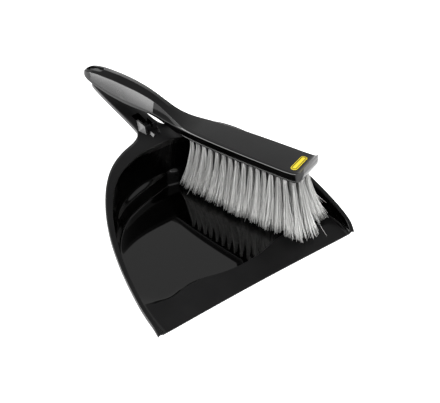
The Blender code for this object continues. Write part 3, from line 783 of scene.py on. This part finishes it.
def block_body(where, looks):
    """Head, neck and handle of the brush as one loft along Y."""
    bm = bmesh.new()
    rings = []
    for y in ring_places():
        right = section(y)
        ring = [bm.verts.new((p.x, y, p.y)) for p in right]
        ring += [bm.verts.new((-p.x, y, p.y)) for p in right[-2:0:-1]]
        rings.append(ring)
    for a, b in zip(rings, rings[1:]):
        quads(bm, a + a[:1], b + b[:1])
    bm.faces.ensure_lookup_table()
    around = len(rings[0])
    for k, face in enumerate(bm.faces):
        strip = k % around
        face.material_index = block_finish(rings[k // around][0].co.y, strip)
    bm.faces.new(rings[0])
    bm.faces.new(rings[-1])
    return add("brush_body", bm, where, looks)


def deck_z(x, y):
    """Height of the top of the head."""
    half, side, share, crown = (block_value(c, y) for c in (1, 3, 4, 5))
    shoulder = (share * half - SHOULDER_IN, side + SHOULDER_RISE * (crown - side))
    return between(((0.0, crown), shoulder, (half, side)), abs(x))


def badge_outline(grow):
    """Points round the badge, grown all round."""
    width, length, _ = BADGE_SIZE
    half_x, half_y = width / 2 + grow, length / 2 + grow
    radius = BADGE_CORNER + grow
    points = []
    for cx, cy, start in ((1, 1, 0), (-1, 1, 90), (-1, -1, 180), (1, -1, 270)):
        for k in range(7):
            turn = math.radians(start + 15 * k)
            points.append((cx * (half_x - radius) + radius * math.cos(turn),
                           cy * (half_y - radius) + radius * math.sin(turn)))
    return points


def badge_solid(name, layers, where, looks=()):
    """A thin plate that follows the top of the head, from layers of (grow, height above it, look)."""
    bm = bmesh.new()
    cx, cy = BADGE_AT
    rings = []
    for grow, lift, _ in layers:
        outline = badge_outline(grow)
        rings.append([bm.verts.new((cx + x, cy + y, deck_z(cx + x, cy + y) + lift)) for x, y in outline])
    for (a, b), (_, _, look) in zip(zip(rings, rings[1:]), layers[1:]):
        quads(bm, a + a[:1], b + b[:1], look)
    for ring, (_, lift, look) in ((rings[0], layers[0]), (rings[-1], layers[-1])):
        middle = bm.verts.new((cx, cy, deck_z(cx, cy) + lift))
        for a, b in zip(ring, ring[1:] + ring[:1]):
            bm.faces.new((a, b, middle)).material_index = look
    return add(name, bm, where, looks)


def tuft_places():
    """Root, tip and name of every tuft, in the brush's own frame."""
    places = []
    for letter, (row_x, first, pitch, count, splay, trail) in zip("abcd", TUFT_ROWS):
        for n in range(count):
            y = first + pitch * n
            x = row_x
            if abs(row_x) > OUTER_ROW and n == 0:
                x -= math.copysign(CORNER_PULL, row_x)
            draw, start, length = ROW_TAPER
            x *= 1.0 - draw * max(0.0, (y - start) / length)
            front = max(0.0, 1.0 - (y - FIELD[0]) / FRONT_REACH)
            back = max(0.0, 1.0 - (FIELD[1] - y) / BACK_REACH)
            wall = WALL_PUSH * max(0.0, y - WALL_FROM) * max(0.0, row_x)
            tip_x = x + splay * (1.0 - FRONT_EASE * front) - wall + TIP_SHIFT[0]
            tip_y = y - FRONT_SPLAY * front * front + trail * back + TIP_SHIFT[1]
            places.append((f"tuft_{letter}{n + 1:02d}", Vector((x, y, 0)), (tip_x, tip_y)))
    return places


def brush_matrix():
    """From the brush's own frame to the pan's, both in millimetres."""
    x, d, z = BRUSH_AT
    place = Matrix.Translation(Vector((x, LIP_Y + d, z)))
    turn = Matrix.Rotation(math.radians(BRUSH_YAW), 4, "Z")
    return place @ turn @ Matrix.Rotation(math.radians(-BRUSH_PITCH), 4, "X")


def ground_depth(matrix, x, y, clear):
    """Z in the brush's frame where a filament ending at (x, y) meets the pan."""
    low, high, rounds = TIP_SEARCH
    for _ in range(rounds):
        middle = 0.5 * (low + high)
        world = matrix @ Vector((x, y, middle))
        if world.z > floor_z(world.x, world.y - LIP_Y) + clear:
            high = middle
        else:
            low = middle
    return high


def filament(bm, line, radius):
    """A thin three-sided tube along a line of points, closed at both ends and turned its own way."""
    loops = []
    turned = radius * 997.0 + line[0].x * 3.1
    for k, p in enumerate(line):
        size = radius * (1.0 - TIP_THIN * (k / (len(line) - 1)) ** 3)
        loop = []
        for s in range(3):
            turn = turned + 2 * math.pi * s / 3
            loop.append(bm.verts.new(p + Vector((size * math.cos(turn), size * math.sin(turn), 0))))
        loops.append(loop)
    for a, b in zip(loops, loops[1:]):
        quads(bm, a + a[:1], b + b[:1])
    bm.faces.new(loops[0])
    bm.faces.new(loops[-1])


def bunches(rng):
    """Bunches across one tuft: (turn, reach, how much shorter, bow in X, bow in Y, twist)."""
    made = []
    for n in range(FILAMENTS // BUNCH):
        turn = rng.uniform(0, 2 * math.pi)
        reach = math.sqrt((n + 0.5) * BUNCH / FILAMENTS)
        short = abs(rng.gauss(0, BUNCH_SHORT))
        bow_x = rng.gauss(0, BUNCH_BOW)
        bow_y = rng.gauss(0, BUNCH_BOW)
        made.append((turn, reach, short, bow_x, bow_y, rng.gauss(0, BUNCH_TWIST)))
    return made


def filament_line(foot, end, bow, power):
    """Points of one filament: up in its hole, then from its foot out to its end with a slight bow."""
    line = [Vector((*foot, HOLE_DEPTH - HOLE_GAP))]
    for k in range(FILAMENT_STEPS):
        t = k / (FILAMENT_STEPS - 1)
        go = t ** power
        bulge = math.sin(math.pi * t)
        x, y = (a + (b - a) * go + c * bulge for a, b, c in zip(foot, end, bow))
        line.append(Vector((x, y, end[2] * t)))
    return line


def tuft(name, root, tip, matrix, where, look):
    """One bundle of loose filaments flaring from its hole to the floor of the pan."""
    rng = random.Random(name)
    bm = bmesh.new()
    lean_x, lean_y = rng.gauss(0, TUFT_LEAN), rng.gauss(0, TUFT_LEAN)
    front = max(0.0, 1.0 - (root.y - FIELD[0]) / FRONT_REACH)
    held = bunches(rng)
    for n in range(FILAMENTS):
        turn, reach, short, bow_x, bow_y, twist = held[n % len(held)]
        turn += rng.gauss(0, OWN_TURN)
        reach = min(max(reach + rng.gauss(0, OWN_REACH), LEAST_REACH), 1.0)
        root_r = TUFT_ROOT_R * reach * FILAMENT_FILL
        flare = FLARE_R * (1.0 + FRONT_FLARE * front) * reach * rng.uniform(*FLARE_RANGE)
        stray = rng.random() < STRAY_SHARE
        if stray:
            flare *= rng.uniform(*STRAY_FLARE)
        end_x = tip[0] + lean_x + flare * math.cos(turn + twist)
        end_y = tip[1] + lean_y + flare * math.sin(turn + twist)
        clear = TIP_GAP + short + rng.gauss(0, OWN_END) + (rng.uniform(*STRAY_END) if stray else 0)
        end = (end_x, end_y, ground_depth(matrix, end_x, end_y, clear))
        bow = (bow_x + rng.gauss(0, OWN_BOW), bow_y + rng.gauss(0, OWN_BOW))
        foot = (root.x + root_r * math.cos(turn), root.y + root_r * math.sin(turn))
        line = filament_line(foot, end, bow, rng.uniform(*BEND_POWER))
        filament(bm, line, FILAMENT_R * rng.uniform(*THICKNESS_RANGE))
    made = add(name + "_bristles", bm, where, [look])
    made.data.shade_smooth()
    return made


def takes_painted_shade(name):
    """True for a tuft of the two middle rows, apart from those that show at the front: these take the darker
    filament as painted shade.
    """
    return name[5] in "bc" and int(name[6:]) > FRONT_TUFTS


def tuft_holes(places, where):
    """One cutter for all the blind holes in the face of the block."""
    bm = bmesh.new()
    radius = TUFT_ROOT_R + HOLE_GAP
    for _, root, _ in places:
        made = bmesh.ops.create_cone(bm, cap_ends=True, segments=HOLE_SIDES, radius1=radius, radius2=radius,
                                     depth=HOLE_DEPTH + HOLE_BELOW)
        middle = (root.x, root.y, (HOLE_DEPTH - HOLE_BELOW) / 2)
        bmesh.ops.translate(bm, vec=middle, verts=made["verts"])
    return add("tuft_holes", bm, where)


def brush(where, tools, skin, bristle, plate):
    """Every piece of the brush, placed in the frame of the whole set."""
    places = tuft_places()
    block = block_body(where, skin)
    boolean(block, badge_solid("badge_recess", BADGE_RECESS, tools), "DIFFERENCE")
    y, radius, half = BRUSH_HOLE
    z, depth = BRUSH_HOLE_CUT
    boolean(block, slot_cutter("brush_slot", Vector((0, y, z)), radius, half, depth, tools), "DIFFERENCE")
    boolean(block, tuft_holes(places, tools), "DIFFERENCE")
    settle(block, BLOCK_SMOOTH_ANGLE)
    badge = badge_solid("badge_plate", BADGE_LAYERS, where, plate)
    badge.data.shade_smooth()
    badge.data.set_sharp_from_angle(angle=math.radians(BADGE_SMOOTH_ANGLE))
    matrix = brush_matrix()
    # The middle-row tufts take the darker filament, painted shade for the shadow between the outer rows.
    tufts = [tuft(name, root, tip, matrix, where, bristle[takes_painted_shade(name)]) for name, root, tip in places]
    place = Matrix.Translation(matrix.translation * MM) @ matrix.to_3x3().to_4x4()
    for obj in [block, badge, *tufts]:
        obj.data.transform(place)
    return block, badge, tufts


# ================================================================ finishes


def group(name, inputs, outputs):
    """An empty node group with float or colour sockets, and its two end nodes."""
    made = bpy.data.node_groups.new(name, "ShaderNodeTree")
    for socket, kind, value in inputs:
        new = made.interface.new_socket(name=socket, in_out="INPUT", socket_type=kind)
        if value is not None:
            new.default_value = value
    for socket, kind in outputs:
        made.interface.new_socket(name=socket, in_out="OUTPUT", socket_type=kind)
    return made, made.nodes.new("NodeGroupInput"), made.nodes.new("NodeGroupOutput")


def math_node(tree, operation, a, b):
    """A sum or product of two values, each a number or a socket."""
    made = tree.nodes.new("ShaderNodeMath")
    made.operation = operation
    for socket, value in zip(made.inputs, (a, b)):
        if isinstance(value, (int, float)):
            socket.default_value = value
        else:
            tree.links.new(value, socket)
    return made.outputs[0]


def spread(tree, value, low, high, to_low, to_high):
    """The value carried from one range to another, and held at its ends."""
    made = tree.nodes.new("ShaderNodeMapRange")
    made.inputs["From Min"].default_value = low
    made.inputs["From Max"].default_value = high
    made.inputs["To Min"].default_value = to_low
    made.inputs["To Max"].default_value = to_high
    tree.links.new(value, made.inputs["Value"])
    return made.outputs["Result"]


def noise(tree, vector, scale, detail, stretch=None):
    """Soft cloudy values over the surface, stretched into streaks where asked."""
    if stretch:
        mapping = tree.nodes.new("ShaderNodeMapping")
        mapping.inputs["Scale"].default_value = stretch
        tree.links.new(vector, mapping.inputs["Vector"])
        vector = mapping.outputs["Vector"]
    made = tree.nodes.new("ShaderNodeTexNoise")
    made.inputs["Scale"].default_value = scale
    made.inputs["Detail"].default_value = detail
    tree.links.new(vector, made.inputs["Vector"])
    return made.outputs["Fac"]


def mix(tree, dark, light, amount):
    """A colour between two, each a colour socket or a plain colour."""
    made = tree.nodes.new("ShaderNodeMix")
    made.data_type = "RGBA"
    for socket, value in ((made.inputs["A"], dark), (made.inputs["B"], light)):
        if isinstance(value, tuple):
            socket.default_value = value
        else:
            tree.links.new(value, socket)
    tree.links.new(amount, made.inputs["Factor"])
    return made.outputs["Result"]


def moulded_skin():
    """Moulded plastic: two close shades in soft clouds, fine grain, slow unevenness and rub marks."""
    inputs = [("Dark", "NodeSocketColor", None), ("Light", "NodeSocketColor", None)]
    inputs += [("Roughness", "NodeSocketFloat", 0.3), ("Unevenness", "NodeSocketFloat", 0.06)]
    inputs += [("Rub", "NodeSocketFloat", 0.1), ("Grain Scale", "NodeSocketFloat", 1400.0)]
    outputs = [("Color", "NodeSocketColor"), ("Roughness", "NodeSocketFloat"), ("Height", "NodeSocketFloat")]
    made, start, end = group("moulded_skin", inputs, outputs)
    coords = made.nodes.new("ShaderNodeTexCoord").outputs["Object"]
    clouds = spread(made, noise(made, coords, 35.0, 4.0), 0.3, 0.7, 0.0, 1.0)
    color = mix(made, start.outputs["Dark"], start.outputs["Light"], clouds)
    grain = made.nodes.new("ShaderNodeTexNoise")
    grain.inputs["Detail"].default_value = 2.0
    made.links.new(coords, grain.inputs["Vector"])
    made.links.new(start.outputs["Grain Scale"], grain.inputs["Scale"])
    streak = noise(made, coords, 60.0, 4.0, (6.0, 0.7, 1.0))
    rub = math_node(made, "MULTIPLY", spread(made, streak, 0.60, 0.72, 0.0, 1.0), start.outputs["Rub"])
    wave = math_node(made, "SUBTRACT", noise(made, coords, 22.0, 3.0), 0.5)
    wave = math_node(made, "MULTIPLY", wave, start.outputs["Unevenness"])
    rough = math_node(made, "ADD", start.outputs["Roughness"], wave)
    made.links.new(color, end.inputs["Color"])
    made.links.new(math_node(made, "ADD", rough, rub), end.inputs["Roughness"])
    made.links.new(grain.outputs["Fac"], end.inputs["Height"])
    return made


def bristle_shade():
    """Synthetic filament: the shade changes from strand to strand, and painted light pales it towards the low
    tips while the roots stay darker as painted shade under the head.
    """
    inputs = [("Dark", "NodeSocketColor", None), ("Light", "NodeSocketColor", None)]
    inputs.append(("Strand", "NodeSocketFloat", 0.5))
    outputs = [("Color", "NodeSocketColor"), ("Roughness", "NodeSocketFloat")]
    made, start, end = group("bristle_shade", inputs, outputs)
    coords = made.nodes.new("ShaderNodeTexCoord").outputs["Object"]
    strand = start.outputs["Strand"]
    uneven = spread(made, math_node(made, "POWER", strand, 2.0), 0.0, 1.0, 0.0, 0.75)
    patch = math_node(made, "MULTIPLY", noise(made, coords, 45.0, 2.0), 0.3)
    amount = math_node(made, "ADD", uneven, patch)
    shade = mix(made, start.outputs["Dark"], start.outputs["Light"], amount)
    split = made.nodes.new("ShaderNodeSeparateXYZ")
    made.links.new(coords, split.inputs["Vector"])
    # Painted light and shade: paler towards the low tips, darker up at the roots that the head shades.
    tip_light = math_node(made, "MULTIPLY", spread(made, split.outputs["Z"], *PAINTED_TIP_SPAN, 0.0, 1.0), 0.75)
    made.links.new(mix(made, shade, PAINTED_TIP_LIGHT, tip_light), end.inputs["Color"])
    made.links.new(spread(made, strand, 0.0, 1.0, 0.42, 0.6), end.inputs["Roughness"])
    return made


def new_material(name, effect, dark, light, specular):
    """A material whose colour and roughness come from a shared effect, with its own two shades."""
    made = bpy.data.materials.new(name)
    made.use_nodes = True
    tree = made.node_tree
    shader = tree.nodes["Principled BSDF"]
    use = tree.nodes.new("ShaderNodeGroup")
    use.node_tree = effect
    use.inputs["Dark"].default_value = (*dark, 1)
    use.inputs["Light"].default_value = (*light, 1)
    tree.links.new(use.outputs["Color"], shader.inputs["Base Color"])
    tree.links.new(use.outputs["Roughness"], shader.inputs["Roughness"])
    shader.inputs["Specular IOR Level"].default_value = specular
    return made, shader, use


def plastic(name, skin, dark, light, rough, uneven, rub, grain, specular):
    """A moulded plastic with its own roughness and wear, and a bump from the grain."""
    made, shader, use = new_material(name, skin, dark, light, specular)
    tree = made.node_tree
    for key, value in (("Roughness", rough), ("Unevenness", uneven), ("Rub", rub)):
        use.inputs[key].default_value = value
    lift = tree.nodes.new("ShaderNodeBump")
    lift.inputs["Strength"].default_value = grain
    lift.inputs["Distance"].default_value = GRAIN_DEPTH
    tree.links.new(use.outputs["Height"], lift.inputs["Height"])
    tree.links.new(lift.outputs["Normal"], shader.inputs["Normal"])
    return made


def dull_towards_grip(look):
    """The deck of the brush is glossier over the head and dulls smoothly on the way up its handle."""
    tree = look.node_tree
    matrix = brush_matrix()
    axis = matrix.to_3x3() @ Vector((0, 1, 0))
    start, end = (axis.dot(matrix @ Vector((0, y, 0))) * MM for y in DULL_SPAN)
    along = tree.nodes.new("ShaderNodeVectorMath")
    along.operation = "DOT_PRODUCT"
    along.inputs[1].default_value = axis
    tree.links.new(tree.nodes.new("ShaderNodeTexCoord").outputs["Object"], along.inputs[0])
    amount = spread(tree, along.outputs["Value"], start, end, DECK_COAT, 0.0)
    shader = tree.nodes["Principled BSDF"]
    tree.links.new(amount, shader.inputs["Coat Weight"])
    shader.inputs["Coat Roughness"].default_value = DECK_COAT_ROUGH


def bristle_finish(name, shade, dark, light):
    """Grey filament between a dark and a light shade, each strand its own."""
    shades = [(value, value, 0.98 * value) for value in (dark, light)]
    made, _, use = new_material(name, shade, *shades, BRISTLE_SPECULAR)
    strand = made.node_tree.nodes.new("ShaderNodeNewGeometry").outputs["Random Per Island"]
    made.node_tree.links.new(strand, use.inputs["Strand"])
    return made


# ================================================================ stage


def stage_floor():
    """A plain pale floor that glows a little, as a lit white table does."""
    bm = bmesh.new()
    bmesh.ops.create_grid(bm, x_segments=1, y_segments=1, size=FLOOR_REACH)
    floor = add("floor", bm, bpy.context.scene.collection)
    floor.location.z = -FLOOR_DROP
    look = bpy.data.materials.new("pale_floor")
    look.use_nodes = True
    shader = look.node_tree.nodes["Principled BSDF"]
    shader.inputs["Base Color"].default_value = (0.85, 0.85, 0.85, 1)
    shader.inputs["Roughness"].default_value = 0.9
    shader.inputs["Specular IOR Level"].default_value = 0.0
    shader.inputs["Emission Color"].default_value = (1, 1, 1, 1)
    shader.inputs["Emission Strength"].default_value = 0.9
    floor.data.materials.append(look)


def soft_light(name, direction, distance, size, power, hidden_from):
    """A flat lamp aimed at the set. It shines either in reflections or on matt surfaces only."""
    lamp = bpy.data.lights.new(name, "AREA")
    lamp.shape = "RECTANGLE"
    lamp.size, lamp.size_y = size
    lamp.energy = power
    made = bpy.data.objects.new(name, lamp)
    bpy.context.scene.collection.objects.link(made)
    towards = Vector(direction).normalized()
    made.location = Vector(VIEW_AT) + towards * distance
    made.rotation_euler = towards.to_track_quat("Z", "Y").to_euler()
    made.visible_camera = False
    setattr(made, hidden_from, False)


def room_light():
    """Even white light from all round, plain white where the camera looks straight into it."""
    world = bpy.data.worlds.new("studio")
    world.use_nodes = True
    tree = world.node_tree
    seen = tree.nodes.new("ShaderNodeLightPath").outputs["Is Camera Ray"]
    strength = spread(tree, seen, 0.0, 1.0, ROOM_LIGHT, ROOM_SEEN)
    tree.nodes["Background"].inputs["Color"].default_value = (1, 1, 1, 1)
    tree.links.new(strength, tree.nodes["Background"].inputs["Strength"])
    bpy.context.scene.world = world


def camera():
    """The camera looks at the set from the left of the lip and from above."""
    lens = bpy.data.cameras.new("camera")
    lens.lens = LENS
    lens.sensor_width = 36.0
    lens.clip_end = 20.0
    eye = bpy.data.objects.new("camera", lens)
    bpy.context.scene.collection.objects.link(eye)
    turn, rise = (math.radians(a) for a in VIEW_FROM)
    back = Vector((math.sin(turn) * math.cos(rise), -math.cos(turn) * math.cos(rise), math.sin(rise)))
    eye.location = Vector(VIEW_AT) + back * VIEW_DISTANCE
    eye.rotation_euler = back.to_track_quat("Z", "Y").to_euler()
    bpy.context.scene.camera = eye
    bpy.context.scene.view_settings.view_transform = "Standard"
    bpy.context.scene.view_settings.look = "None"


# ================================================================ all together


def main():
    pieces = collection("pieces")
    tools = collection("tools")
    skin = moulded_skin()
    looks = {name: plastic(name, skin, *values) for name, values in PLASTICS.items()}
    dull_towards_grip(looks["black_deck"])
    shade = bristle_shade()
    bristle = [bristle_finish(name, shade, *pair) for name, pair in FILAMENT_SHADES.items()]
    pan = dustpan(pieces, tools, [looks[name] for name in PAN_LOOKS])
    on_block = [looks[name] for name in BLOCK_LOOKS]
    on_badge = [looks[name] for name in BADGE_LOOKS]
    block, badge, tufts = brush(pieces, tools, on_block, bristle, on_badge)
    for tool in list(tools.objects):
        bpy.data.objects.remove(tool)
    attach(pan, "dustpan")
    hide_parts("pan_body")
    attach(block, "brush")
    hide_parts("brush_block")
    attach(badge, "brush")
    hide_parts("badge")
    for bundle in tufts:
        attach(bundle, "brush")
        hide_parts(bundle.name.replace("_bristles", ""))
    stage_floor()
    room_light()
    for lamp in LAMPS:
        soft_light(*lamp)
    camera()
    bpy.context.view_layer.update()


main()
